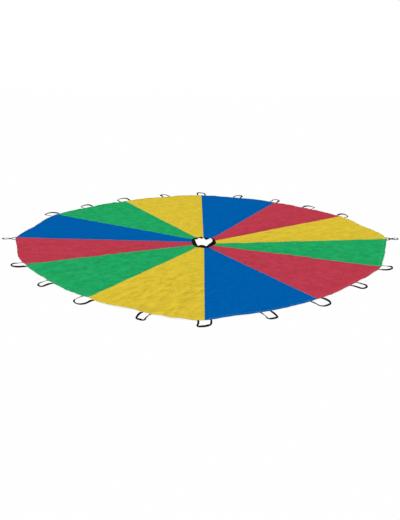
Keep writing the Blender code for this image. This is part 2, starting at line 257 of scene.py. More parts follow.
# Hand loops, on the hinges of the frame, clockwise from the far seam. In mm: how far apart
# the feet are, how far out the loop reaches and how far its end leans along the rim. The
# strap is raised at the loop's inner side by these degrees at nine places from its first
# foot to its last. Two loops have drawn together, to these shares of their width.
loopJoints = [joint for joint in frame["joints"] if joint["type"] == "hinge"]
handLoops = (
    {"span": 153, "reach": 205, "lean": -37, "tilts": (5, 24, 9, -52, -19, -23, -21, -26, -8)},
    {"span": 147, "reach": 180, "lean": 11, "tilts": (-9, -10, -20, -22, -18, -53, 3, 51, 48)},
    {"span": 147, "reach": 217, "lean": -62, "tilts": (-15, -1, 18, -17, -12, -36, 20, 45, 56)},
    {"span": 190, "reach": 186, "lean": -6, "tilts": (-64, -63, -47, -31, -10, 5, -58, -10, -10)},
    {"span": 190, "reach": 156, "lean": -42, "tilts": (-65, -65, -47, -31, -16, 0, 44, -1, 8)},
    {"span": 132, "reach": 189, "lean": -40, "tilts": (-19, -14, 1, -4, 40, -3, 11, 28, 12),
     "drawn": (0.2, 0.7)},
    {"span": 198, "reach": 158, "lean": -32, "tilts": (7, 6, -63, 2, 31, 57, 25, 43, 21)},
    {"span": 158, "reach": 193, "lean": 35, "tilts": (-14, -11, -31, -11, 46, 24, 31, 26, 31)},
    {"span": 192, "reach": 222, "lean": 35, "tilts": (-59, -57, -39, 21, 43, 18, 9, -11, 11)},
    {"span": 132, "reach": 227, "lean": 17, "tilts": (-25, -21, -21, 34, 41, 22, -22, -31, -7)},
    {"span": 152, "reach": 194, "lean": 50, "tilts": (23, -14, 14, 59, 50, 35, -8, -13, -2)},
    {"span": 118, "reach": 210, "lean": -52, "tilts": (-23, -19, -14, 18, 53, 2, -14, -40, -47)},
    {"span": 212, "reach": 217, "lean": -36, "tilts": (59, 30, 41, 24, 6, -45, 44, 14, 13)},
    {"span": 144, "reach": 188, "lean": -50, "tilts": (45, 43, 39, 17, -2, 33, -16, 7, 12)},
    {"span": 205, "reach": 180, "lean": 35, "tilts": (62, 69, 66, 43, 2, 12, -33, -10, 10)},
    {"span": 135, "reach": 202, "lean": 18, "tilts": (-1, 2, -2, -1, 49, -1, 5, -3, -3),
     "drawn": (0.2, 0.5)},
    {"span": 193, "reach": 190, "lean": -22, "tilts": (2, -1, -12, 6, -18, -26, -38, -44, -53)},
    {"span": 193, "reach": 174, "lean": 26, "tilts": (0, -10, 29, -7, -20, -32, -53, -61, -62)},
    {"span": 212, "reach": 228, "lean": 44, "tilts": (15, 0, 33, -1, -14, -27, -40, -52, -58)},
    {"span": 137, "reach": 205, "lean": -12, "tilts": (55, 56, 56, -23, -11, -15, -7, -7, -12)},
)
loopStrap = {
    "width": 25 * mm, "thickness": 1.5 * mm,
    "grip": 30 * mm,         # the straight stretch at the loop's end
    "tabLength": 34 * mm,    # sewn under the hem
    "tiltPlaces": np.linspace(0, 1, 11),
    "tiltSmoothing": 3,      # stations to each side
    "tabStations": 6, "legStations": 22, "bendStations": 10,
    "floorGap": 0.1 * mm,
    # across and through the strap, as shares of its width and thickness
    "section": ((-0.5, 0), (-0.485, 0.42), (-0.45, 0.5), (-0.2, 0.42), (0.2, 0.42), (0.45, 0.5),
                (0.485, 0.42), (0.5, 0), (0.485, -0.42), (0.45, -0.5), (0.2, -0.42), (-0.2, -0.42),
                (-0.45, -0.5), (-0.485, -0.42)),
}


def loopFeet(inward):
    # the middle of each foot, at metres in from its hinge
    feet = []
    for joint, loop in zip(loopJoints, handLoops):
        middle, along = np.array(joint["pos_m"])[:2], np.array(joint["axis"])[:2]
        for side in (-0.5, 0.5):
            feet.append(middle + along * side * loop["span"] * mm
                        + np.array([along[1], -along[0]]) * inward)
    return np.array(feet)


feet = loopFeet(loopStrap["tabLength"] / 2)

# How the cloth rests: it sags flat on the floor between creases, and each gore is
# crumpled by its own amount. Soft folds run at an angle to the gore's middle line.
lay = {
    "billow": 8 * mm, "billowSize": 0.6,
    "patchSize": 0.9,
    "creaseSizes": (0.50, 0.26, 0.14, 0.075),
    "creaseHeights": (9 * mm, 7 * mm, 5 * mm, 2.2 * mm),
    "creaseSharpness": 5,
    "crumpleShares": (0.45, 0.85, 0.85, 1.10, 0.85, 0.45,
                      1.30, 1.05, 0.95, 0.40, 1.00, 0.80),
    "foldAngles": (12, -8, 20, -14, 10, -12, -16, 14, 6, -6, 16, -10),
    "foldHeights": [h * mm for h in (2, 4, 4, 6, 4, 2, 12, 5, 6, 2, 4, 5)],
    "foldSpacing": 0.21, "foldStretch": 7.0, "foldSharpness": 3,
    "foldWander": 0.10, "foldWanderSize": 0.8,
    "rimPuckerSize": 0.125, "rimPuckerStretch": 2.4, "rimPuckerSharpness": 2.5,
    "rimPuckerHeight": 10 * mm, "rimPuckerRun": 0.24, "rimPuckerPatch": 0.5,
    "rimScallop": 7 * mm, "rimScallopSize": 0.16, "rimScallopRun": 0.18,
    "settleDepth": 1.5 * mm,
    # metres from the middle of a sewn tab: where the cloth is drawn flat, where it lies
    # on the tab, and where the rim can't wander
    "flatSpread": 0.07, "tabSpread": 0.032, "heldSpread": 0.10,
    "seeds": {"patches": 3, "billow": 5, "creases": 40, "foldBends": 71, "folds": 90,
              "puckers": 130, "puckerPatches": 133, "scallops": 211},
}
hem = {"width": 45 * mm, "height": 3 * mm, "shoulder": 4 * mm, "floorGap": 0.2 * mm}
seam = {"width": 12 * mm, "height": 1.0 * mm, "shoulder": 1.5 * mm, "tuck": 3 * mm}


def seamShare(gore, across, shares):
    # a value of each gore that passes smoothly into its neighbours' at the seams
    own = shares[gore % gores]
    before, after = shares[(gore - 1) % gores], shares[(gore + 1) % gores]
    atSeam = np.where(across < 0.5, (own + before) / 2, (own + after) / 2)
    return own + (atSeam - own) * np.abs(2 * across - 1) ** 6


def restHeight(gore, across, inward, fromRim, x, y):
    # the cloth's underside over the floor
    crumple = seamShare(gore, across, lay["crumpleShares"])
    offSeam = np.clip(4 * across * (1 - across), 0, 1)
    middle = fade(inward, 0.10, 0.8) * fade(fromRim, 0.0, 0.5)
    seeds = lay["seeds"]
    worked = patches(x, y, lay["patchSize"], seeds["patches"])
    height = lay["billow"] * offSeam * middle * patches(x, y, lay["billowSize"], seeds["billow"])
    for number, (size, rise) in enumerate(zip(lay["creaseSizes"], lay["creaseHeights"])):
        crease = creases(x, y, size, seeds["creases"] + number, lay["creaseSharpness"])
        height = height + crumple * worked * rise * crease
    # soft folds, long beside their width
    a, b = seamEnds[gore % gores], seamEnds[(gore + 1) % gores]
    axis = unit((a + b) / 2 - crownPlace)
    turn = math.radians(lay["foldAngles"][gore % gores])
    cos, sin = math.cos(turn), math.sin(turn)
    axis = np.array([axis[0] * cos - axis[1] * sin, axis[0] * sin + axis[1] * cos])
    down = x * axis[0] + y * axis[1]
    over = -x * axis[1] + y * axis[0]
    bend = lay["foldWander"] * gradientNoise(
        down / lay["foldWanderSize"], over / lay["foldWanderSize"], seeds["foldBends"])
    fold = creases(over + bend, down / lay["foldStretch"], lay["foldSpacing"],
                   seeds["folds"] + gore, lay["foldSharpness"])
    strength = offSeam ** 0.5 * fade(inward, 0.4, 1.5)
    height = height + lay["foldHeights"][gore % gores] * strength * fold
    # puckers along the hem, square to it
    rimPlace = rimStarts[gore % gores] + across * rimChords[gore % gores]
    pucker = creases(rimPlace, fromRim / lay["rimPuckerStretch"], lay["rimPuckerSize"],
                     seeds["puckers"], lay["rimPuckerSharpness"])
    pucker = pucker * (0.5 + 0.5 * gradientNoise(
        rimPlace / lay["rimPuckerPatch"], 0 * rimPlace, seeds["puckerPatches"]))
    atRim = np.exp(-np.clip(fromRim, 0, None) / lay["rimPuckerRun"])
    height = height + lay["rimPuckerHeight"] * crumple * pucker * atRim
    # the cloth is drawn flat over the loops' sewn tabs, and lies on them
    spread = np.linalg.norm(np.stack([x, y], -1)[..., None, :] - feet, axis=-1).min(-1)
    flat = 1 - np.exp(-(spread / lay["flatSpread"]) ** 2)
    height = height * flat - 0.4 * lay["settleDepth"]
    settled = (height + np.sqrt(height ** 2 + lay["settleDepth"] ** 2)) / 2
    tab = (loopStrap["thickness"] + hem["floorGap"]) * np.exp(-(spread / lay["tabSpread"]) ** 6)
    return np.maximum(settled * flat, tab) + hem["floorGap"]


def clothPoints(gore, across, inward):
    # the cloth's underside where it is one layer, at shares across and metres out
    inner, outer = crownEdge(gore, across), rimEdge(gore, across)
    way = outer - inner[..., :2]
    length = np.linalg.norm(way, axis=-1)
    fromRim = length - inward
    ground = inner[..., :2] + way / length[..., None] * inward[..., None]
    x, y = ground[..., 0], ground[..., 1]
    height = restHeight(gore, across, inward, fromRim, x, y)
    # it rises to the tape, which slopes from its outer edge to the hole's
    onTape = np.clip(1 - inward / crown["tapeWidth"], 0, 1)
    rise = np.clip((inward - crown["tapeWidth"]) / (crown["moundRun"] - crown["tapeWidth"]), 0, 1)
    rise = (1 - rise) ** 2
    height = height * (1 - rise) + inner[..., 3] * rise + (inner[..., 2] - inner[..., 3]) * onTape
    # the rim wanders in and out by a few millimetres, but not where a loop is sewn
    spread = np.linalg.norm(outer[..., None, :] - feet, axis=-1).min(-1)
    free = 1 - np.exp(-(spread / lay["heldSpread"]) ** 2)
    size = lay["rimScallopSize"]
    wander = gradientNoise(outer[..., 0] / size, outer[..., 1] / size, lay["seeds"]["scallops"]) - 0.4
    atRim = np.exp(-np.clip(fromRim, 0, None) / lay["rimScallopRun"])
    shift = lay["rimScallop"] * wander * free * atRim
    ground = ground + way / length[..., None] * shift[..., None]
    return np.concatenate([ground, height[..., None]], -1)


def seamRise(offset):
    # the felled seam's ridge, at metres into the gore that carries it
    return seam["height"] * np.interp(
        offset, [0, seam["shoulder"], seam["width"], seam["width"] + seam["shoulder"]],
        [0.1, 1, 1, 0])


# Gores
goreCloth = {
    "tapeRows": 5, "moundRows": 12, "fieldRows": 132, "columns": 80,
    "seamOffsets": [s * mm for s in (0, 0.5, 1.5, 4, 8, 12, 13.5, 17, 24)],
    "lastGap": 4 * mm,
    # the turned hem from its stitched edge over the rim and back under: mm from the rim,
    # and share of the hem's height
    "hemProfile": ((49, 0), (47.6, 0.15), (46.4, 0.85), (45, 1), (41, 0.93), (34, 1), (20, 1),
                   (8, 1), (2.5, 0.98), (0.8, 0.82), (0, 0.5), (0.6, 0.16), (2.2, 0.02),
                   (14, 0), (30, 0), (45, 0)),
    "rowsUnder": 5,
    "stitchRow": 41,
}


def clothGround(number, across, inward):
    inner, outer = crownEdge(number, across)[..., :2], rimEdge(number, across)
    return inner + unit(outer - inner) * inward[..., None]


def inwardAt(number, across, kind, at):
    reach = reachOf(number, across)
    if kind == "rim":
        return reach - at
    if kind == "crown":
        return at + 0 * reach
    return crown["moundRun"] + at * (reach - hem["width"] - hem["shoulder"] - crown["moundRun"])


def rowWidth(number, kind, at):
    ends = np.array([0.0, 1.0])
    corners = clothGround(number, ends, inwardAt(number, ends, kind, at))
    return np.linalg.norm(corners[1] - corners[0])


def rowColumns(width):
    # metres from the gore's first seam: its ridge, the field, the edge tucked under
    offsets = goreCloth["seamOffsets"]
    field = np.linspace(offsets[-1], width - goreCloth["lastGap"], goreCloth["columns"])[1:]
    return np.concatenate([offsets, field, [width, width + seam["tuck"]]])


def goreRows():
    taped, mound, field = (goreCloth[key] for key in ("tapeRows", "moundRows", "fieldRows"))
    inward = [*np.linspace(0, crown["tapeWidth"], taped)[:-1],
              *np.linspace(crown["tapeWidth"], crown["moundRun"], mound, endpoint=False)]
    rows = [("crown", at, 0) for at in inward] + [("field", n / field, 0) for n in range(field)]
    return rows + [("rim", out * mm, share) for out, share in goreCloth["hemProfile"]]


def buildGore(number, material):
    rows = goreRows()
    columns = np.array([rowColumns(rowWidth(number, kind, at)) for kind, at, _ in rows])
    across = columns / (columns[:, -1:] - seam["tuck"])
    inward = np.array([inwardAt(number, across[n], kind, at)
                       for n, (kind, at, _) in enumerate(rows)])
    points = clothPoints(number, across, inward)
    over = np.ones((len(rows), 1))
    over[-goreCloth["rowsUnder"]:] = 0
    points[..., 2] += seamRise(columns) * over
    points[..., 2] += hem["height"] * np.array([[share] for _, _, share in rows])
    place = np.stack([columns - columns[:, -1:] / 2, inward, 0 * inward], -1)
    name = f"goreCloth_{number + 1:02d}"
    piece = meshPiece(name, points, gridFaces(*points.shape[:2]), place, material)
    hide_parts(f"gore_{number + 1:02d}")
    liftWithCrown(piece)


def liftWithCrown(piece):
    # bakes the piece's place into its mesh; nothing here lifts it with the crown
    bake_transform(piece)


# Sewing
thread = {
    "width": 0.9 * mm, "height": 0.55 * mm, "sunk": 0.35 * mm,
    "pitch": 9 * mm, "length": 6 * mm,
    "seamInset": 2.5 * mm, "secondRowOut": 0.5 * mm, "seamStart": 4 * mm,
    "tapeInset": 5 * mm, "overTape": 2.0 * mm,
}


def stitchPiece(name, runs, material, node, pitch=None, length=None):
    # each run is a line of points on the cloth, and its stitches lie along it
    pitch, length = pitch or thread["pitch"], length or thread["length"]
    points, faces, place = [], [], []
    ring = np.array([[0, 1, 4, 3], [1, 2, 5, 4], [2, 0, 3, 5]])
    block = np.concatenate([ring + 3 * n for n in range(3)])
    for run in runs:
        travel = travelAlong(run)
        count = int(travel[-1] / pitch)
        if not count:
            continue
        middles = (np.arange(count) + 0.5) * travel[-1] / count
        shares = np.array([-0.5, -0.3, 0.3, 0.5]) * length
        at = middles[:, None] + shares
        line = np.stack([np.interp(at, travel, run[:, axis]) for axis in range(3)], -1)
        way = unit(line[:, -1:] - line[:, :1])
        side = unit(np.stack([way[..., 1], -way[..., 0], 0 * way[..., 0]], -1)) * thread["width"] / 2
        sink = np.array([-thread["sunk"], 0, 0, -thread["sunk"]])[None, :]
        low, high = line.copy(), line.copy()
        low[..., 2] += sink
        high[..., 2] += sink + thread["height"]
        sections = np.stack([low - side, high, low + side], 2)
        first = sum(len(p) for p in points)
        points.append(sections.reshape(-1, 3))
        starts = first + sections[0, ..., 0].size * np.arange(count)[:, None, None]
        faces.append((starts + block[None]).reshape(-1, 4))
        width = np.array([-1, 0, 1])[None, None, :] * thread["width"] / 2 + 0 * at[..., None]
        place.append(np.stack([width, at[..., None] + 0 * width, 0 * width], -1).reshape(-1, 3))
    points, faces, place = (np.concatenate(part) for part in (points, faces, place))
    piece = meshPiece(name, points, faces, place, material)
    if node:
        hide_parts(node)
    return piece


def seamRun(number, offset):
    # along a seam's ridge, at the same rows as the gore's own mesh
    rows = [(kind, at) for kind, at, _ in goreRows()
            if kind == "field" or kind == "crown" and at > crown["tapeWidth"] + thread["seamStart"]]
    across = np.array([offset / rowWidth(number, kind, at) for kind, at in rows])
    inward = np.array([inwardAt(number, across[n:n + 1], kind, at)[0]
                       for n, (kind, at) in enumerate(rows)])
    points = clothPoints(number, across, inward)
    points[:, 2] += seamRise(offset)
    return points


def buildSeamStitches(number, material):
    insets = (thread["seamInset"],
              seam["width"] - thread["seamInset"] + thread["secondRowOut"])
    node = f"seam_stitching_{number + 1:02d}"
    piece = stitchPiece(f"seamStitches_{number + 1:02d}", [seamRun(number, s) for s in insets],
                        material, node)
    liftWithCrown(piece)


def rimRun(number, fromRim, rise):
    # along the hem of one gore, over its seam's ridge
    width = rowWidth(number, "rim", fromRim)
    columns = rowColumns(width)[:-1]
    across = columns / width
    points = clothPoints(number, across, inwardAt(number, across, "rim", fromRim))
    points[:, 2] += rise + seamRise(columns)
    return points


def buildHemStitches(material):
    fromRim = goreCloth["stitchRow"] * mm
    rise = hem["height"] * dict(goreCloth["hemProfile"])[goreCloth["stitchRow"]]
    run = np.concatenate([rimRun(number, fromRim, rise) for number in range(gores)])
    piece = stitchPiece("hemStitches", [run], material, "hem_stitching")
    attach(piece, "canopy")


# Tape folded over the crown hole's edge, above and below the cloth: mm out from the
# edge, and mm over the cloth's underside
tape = {
    "profile": ((58, 0.2), (58, 1.6), (57, 2.1), (52, 2.0), (40, 2.2), (22, 2.2), (6, 2.1),
                (1, 1.9), (-1.0, 1.2), (-1.6, 0.2), (-1.0, -0.8), (1, -1.3), (6, -1.5),
                (22, -1.5), (40, -1.5), (57, -1.4), (58, -0.6), (58, -0.2)),
    "stationsPerGore": 24,
}


def tapeStations():
    return [(number, n / tape["stationsPerGore"])
            for number in range(gores) for n in range(tape["stationsPerGore"])]


def tapeLine(out, rise):
    points = []
    for number, at in tapeStations():
        across = np.array([at])
        point = clothPoints(number, across, np.array([max(out, 0)]))[0]
        if out < 0:
            point[:2] += unit(rimEdge(number, across) - crownEdge(number, across)[:, :2])[0] * out
        point[2] += rise
        points.append(point)
    return np.array(points)


def buildTape(material):
    lines = [tapeLine(out * mm, rise * mm) for out, rise in tape["profile"]]
    points = np.stack(lines, 1)
    travel = travelAlong(lines[4])
    width = np.array([out * mm if rise > 0 else -out * mm for out, rise in tape["profile"]])
    place = ribbonPlace(width, travel)
    faces = gridFaces(*points.shape[:2], closedAlong=True)
    piece = meshPiece("crownTape", points, faces, place, material)
    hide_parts("crown_binding")
    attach(piece, "crown")


def buildTapeStitches(material):
    run = tapeLine(crown["tapeWidth"] - thread["tapeInset"], thread["overTape"])
    run = np.concatenate([run, run[:1]])
    piece = stitchPiece("tapeStitches", [run], material, "crown_stitching")
    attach(piece, "crown")


# Webbing inside the hem: mm from the rim, and mm over the hem's underside
rimWebbing = {"across": (1.2, 2.5, 8, 20, 34, 38.3), "low": 0.6, "high": 2.1}


def buildRimWebbing(material):
    profile = [(out * mm, rimWebbing["low"] * mm) for out in rimWebbing["across"]]
    profile += [(out * mm, rimWebbing["high"] * mm) for out in reversed(rimWebbing["across"])]
    lines = [np.concatenate([rimRun(number, *spot) for number in range(gores)])
             for spot in profile]
    points = np.stack(lines, 1)
    ridge = np.concatenate([seamRise(rowColumns(rowWidth(number, "rim", 0))[:-1])
                            for number in range(gores)])
    points[..., 2] -= ridge[:, None]
    travel = np.arange(len(points)) * rimStarts[-1] / len(points)
    width = np.array([out for out, _ in profile])
    place = ribbonPlace(width, travel)
    faces = gridFaces(*points.shape[:2], closedAlong=True, closedAcross=True)
    piece = meshPiece("rimWebbing", points, faces, place, material)
    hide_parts("rim_webbing")
    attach(piece, "canopy")


def loopPath(loop):
    # the strap's middle line in its hinge's frame: x along the rim, y out from it
    span, reach = loop["span"] * mm / 2, loop["reach"] * mm
    bend = span - loopStrap["grip"] / 2
    legEnd = reach - bend
    tab = [(-span, -loopStrap["tabLength"] + n * 6 * mm) for n in range(loopStrap["tabStations"])]
    leg = [(-span, y) for y in np.linspace(0, legEnd, loopStrap["legStations"])]
    turn = [(-span + bend * (1 - math.cos(a)), legEnd + bend * math.sin(a))
            for a in np.linspace(0, math.pi / 2, loopStrap["bendStations"] + 1)[1:]]
    half = np.array(tab + leg + turn)
    path = np.concatenate([half, half[::-1] * (-1, 1)])
    out = np.clip(path[:, 1] / reach, 0, 1)
    near, far = loop.get("drawn", (1, 1))
    path[:, 0] *= 1 + (near - 1) * fade(out, 0, 0.4) + (far - near) * fade(out, 0.4, 0.75)
    path[:, 0] += loop["lean"] * mm * out ** 2
    return path


def buildLoop(number, joint, material):
    loop = handLoops[number]
    path = loopPath(loop)
    travel = travelAlong(path)
    free = (travel - loopStrap["tabLength"]) / (travel[-1] - 2 * loopStrap["tabLength"])
    twist = np.radians(np.interp(free, loopStrap["tiltPlaces"], (0, *loop["tilts"], 0)))
    near = loopStrap["tiltSmoothing"]
    evenly = np.full(2 * near + 1, 1 / (2 * near + 1))
    twist = np.convolve(np.pad(twist, near, mode="edge"), evenly, "valid")
    way = unit(np.gradient(path, axis=0))
    side = np.stack([-way[:, 1], way[:, 0], 0 * travel], -1)
    up = np.array([0, 0, 1.0])
    cos, sin = np.cos(twist)[:, None], np.sin(twist)[:, None]
    wide, thick = side * cos - up * sin, up * cos + side * sin
    wide, thick = wide * loopStrap["width"], thick * loopStrap["thickness"]
    rest = (np.abs(wide[:, 2]) + np.abs(thick[:, 2])) / 2 + loopStrap["floorGap"]
    middle = np.column_stack([path, rest])
    section = np.array(loopStrap["section"])
    local = (middle[:, None] + wide[:, None] * section[None, :, :1]
             + thick[:, None] * section[None, :, 1:])
    hinge, along = np.array(joint["pos_m"]), np.array(joint["axis"])
    out = np.array([-along[1], along[0], 0])
    points = (np.array([hinge[0], hinge[1], 0]) + local[..., :1] * along
              + local[..., 1:2] * out + local[..., 2:] * up)
    width = section[:, 0] * loopStrap["width"]
    place = ribbonPlace(width, travel)
    faces = gridFaces(*points.shape[:2], closedAcross=True)
    name = f"handLoop_{number + 1:02d}"
    piece = meshPiece(name, points, faces, place, material)
    node = f"handle_{number + 1:02d}"
    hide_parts(node)
    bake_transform(piece)


# Box stitches on the hem over each sewn tab: mm along the rim from the foot's middle, and
# mm in from the rim
tabSewing = {
    "corners": ((-8, 6), (8, 6), (8, 33), (-8, 33)), "order": (0, 1, 2, 3, 0, 2, 1, 3),
    "pitch": 4 * mm, "length": 2.7 * mm,
    "rimSamples": 401, "spotsPerSide": 7,
}


def buildTabStitches(material):
    shares = np.linspace(0, 1, tabSewing["rimSamples"])
    rims = np.array([rimEdge(number, shares) for number in range(gores)])
    runs = []
    for foot in loopFeet(0):
        number, n = np.unravel_index(np.linalg.norm(rims - foot, axis=-1).argmin(), rims.shape[:2])
        width = rowWidth(number, "rim", 0)
        corners = np.array([tabSewing["corners"][k] for k in tabSewing["order"]]) * mm
        for start, end in zip(corners, corners[1:]):
            spots = start + (end - start) * np.linspace(0, 1, tabSewing["spotsPerSide"])[:, None]
            across = np.clip(shares[n] + spots[:, 0] / width, 0, 1)
            points = clothPoints(number, across, reachOf(number, across) - spots[:, 1])
            points[:, 2] += hem["height"] + seamRise(across * width)
            runs.append(points)
    piece = stitchPiece("tabStitches", runs, material, None,
                        tabSewing["pitch"], tabSewing["length"])
    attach(piece, "canopy")


# Finishes

# Polyester taffeta, plain woven of fine dulled filament and dyed: smooth, even and matt, with sharp crease
# marks in its bump. Its colour carries soft patches of painted light and shade, and paler patches of
# painted sheen. It has no gloss, because the photograph shows full colour even at a low angle.
taffeta = {
    "colours": {"blue": "#005EAB", "red": "#BB3A4C", "yellow": "#DABF36", "green": "#1BA55F"},
    "roughness": 0.62, "ior": 1.57, "gloss": 0.0,
    "threadDrawn": 5 * mm,       # threads lie 0.2 mm apart, and are drawn coarser to show
    "threadLength": 300 * mm,    # an uneven filament shows as a streak of about this length
    "threadTone": 0.05, "shadingPatchSize": 0.16,
    # by colour: how strong the painted light and shade patches are, and how much white the painted sheen
    # adds
    "paintedShading": {"blue": 0.04, "red": 0.11, "yellow": 0.10, "green": 0.16},
    "paintedSheen": {"blue": 0.001, "red": 0.009, "yellow": 0.006, "green": 0.014},
    "crinkleSizes": (0.085, 0.038), "crinkleHeights": (1.6 * mm, 0.6 * mm),
    "crinkleWidth": 0.22,        # of a cell
    "crinkleBend": 0.07, "crinkleBendScale": 9.0,
    # the painted sheen's patches are this many times smaller than the painted shading's
    "threadHeight": 0.15 * mm, "roughnessSpread": 0.07, "sheenScale": 1.7,
}


def makeTaffeta(colourName, hexColour):
    material, tree, shader = startMaterial(f"polyesterTaffeta{colourName.title()}")
    shader.inputs["IOR"].default_value = taffeta["ior"]
    shader.inputs["Specular IOR Level"].default_value = taffeta["gloss"]
    place = addNode(tree, "ShaderNodeAttribute", {"attribute_name": "place"}).outputs["Vector"]
    fine, long = 1 / taffeta["threadDrawn"], 1 / taffeta["threadLength"]
    tones = []
    for scale in ((fine, long, 1), (long, fine, 1)):
        drawn = addNode(tree, "ShaderNodeMapping", {"Scale": scale}, {"Vector": place})
        tones.append(addNode(tree, "ShaderNodeTexNoise", {"Scale": 1.0, "Detail": 1.0},
                             {"Vector": drawn.outputs[0]}).outputs["Fac"])
    weave = addNode(tree, "ShaderNodeMath", {"operation": "ADD"}, {0: tones[0], 1: tones[1]})
    threadTone = addNode(tree, "ShaderNodeMapRange",
                         {"From Min": 0.6, "From Max": 1.4, "To Min": 1 - taffeta["threadTone"],
                          "To Max": 1 + taffeta["threadTone"]}, {"Value": weave.outputs[0]})
    # painted light and shade: soft light and dark patches in the colour, where the cloth stands off the
    # floor or touches it
    shadingNoise = addNode(tree, "ShaderNodeTexNoise",
                      {"Scale": 1 / taffeta["shadingPatchSize"], "Detail": 5.0, "Roughness": 0.62,
                       "Distortion": 0.6}, {"Vector": place})
    paintedShading = taffeta["paintedShading"][colourName]
    paintedShading = addNode(tree, "ShaderNodeMapRange",
                     {"From Min": 0.3, "From Max": 0.7, "To Min": 1 - paintedShading, "To Max": 1 + paintedShading},
                     {"Value": shadingNoise.outputs["Fac"]})
    # the thread streaks' own tone, times the painted light and shade patches
    shadedTone = addNode(tree, "ShaderNodeMath", {"operation": "MULTIPLY"},
                   {0: threadTone.outputs[0], 1: paintedShading.outputs[0]})
    shadedColour = addNode(tree, "ShaderNodeVectorMath",
                    {"operation": "SCALE", 0: linear(hexColour)[:3]}, {"Scale": shadedTone.outputs[0]})
    # painted sheen: patches where the colour goes a little paler, towards white, as the cloth's sheen
    # would make it
    sheenAndWear = addNode(tree, "ShaderNodeTexNoise",
                   {"Scale": taffeta["sheenScale"] / taffeta["shadingPatchSize"], "Detail": 6.0, "Roughness": 0.7,
                    "Distortion": 1.2}, {"Vector": place})
    sheenAndWear = addNode(tree, "ShaderNodeMapRange",
                   {"From Min": 0.45, "From Max": 0.75, "To Min": 0.0,
                    "To Max": 2 * taffeta["paintedSheen"][colourName]}, {"Value": sheenAndWear.outputs["Fac"]})
    paled = addNode(tree, "ShaderNodeVectorMath", {"operation": "ADD"},
                    {0: shadedColour.outputs[0], 1: sheenAndWear.outputs[0]})
    tree.links.new(paled.outputs[0], shader.inputs["Base Color"])
    # crease marks: the edges of bent cells, in two sizes
    bend = addNode(tree, "ShaderNodeTexNoise",
                   {"Scale": taffeta["crinkleBendScale"], "Detail": 2.0}, {"Vector": place})
    bend = addNode(tree, "ShaderNodeVectorMath",
                   {"operation": "MULTIPLY_ADD", 1: (taffeta["crinkleBend"],) * 3},
                   {0: bend.outputs["Color"], 2: place})
    height = None
    for size, rise in zip(taffeta["crinkleSizes"], taffeta["crinkleHeights"]):
        cells = addNode(tree, "ShaderNodeTexVoronoi",
                        {"feature": "DISTANCE_TO_EDGE", "Scale": 1 / size},
                        {"Vector": bend.outputs[0]})
        mark = addNode(tree, "ShaderNodeMapRange",
                       {"interpolation_type": "SMOOTHSTEP", "From Min": 0.0,
                        "From Max": taffeta["crinkleWidth"], "To Min": rise, "To Max": 0.0},
                       {"Value": cells.outputs[0]})
        height = mark if height is None else addNode(
            tree, "ShaderNodeMath", {"operation": "ADD"}, {0: height.outputs[0], 1: mark.outputs[0]})
    threads = addNode(tree, "ShaderNodeMath",
                      {"operation": "MULTIPLY_ADD", 1: taffeta["threadHeight"]},
                      {0: weave.outputs[0], 2: height.outputs[0]})
    bump = addNode(tree, "ShaderNodeBump", {"Distance": 1.0, "Strength": 1.0},
                   {"Height": threads.outputs[0]})
    tree.links.new(bump.outputs[0], shader.inputs["Normal"])
    dull = addNode(tree, "ShaderNodeMapRange",
                   {"To Min": taffeta["roughness"] - taffeta["roughnessSpread"],
                    "To Max": taffeta["roughness"] + taffeta["roughnessSpread"]},
                   {"Value": shadingNoise.outputs["Fac"]})
    tree.links.new(dull.outputs[0], shader.inputs["Roughness"])
    return material


# Polypropylene webbing, woven of black yarn: dull, ribbed across, with a tight selvedge.
webbingYarn = {
    # the second colour is painted sheen on the rib crests, and also shows on worn patches
    "colour": "#0E0E10", "sheenAndWear": "#202023", "roughness": 0.7, "ior": 1.49, "gloss": 0.0,
    "ribDrawn": 4 * mm,          # ribs lie 1.5 mm apart, and are drawn coarser to show
    "ribHeight": 0.35 * mm, "chevronWidth": 6.25 * mm, "roughnessSpread": 0.1,
    "fuzzScale": 700.0, "wearScale": 60.0,
}


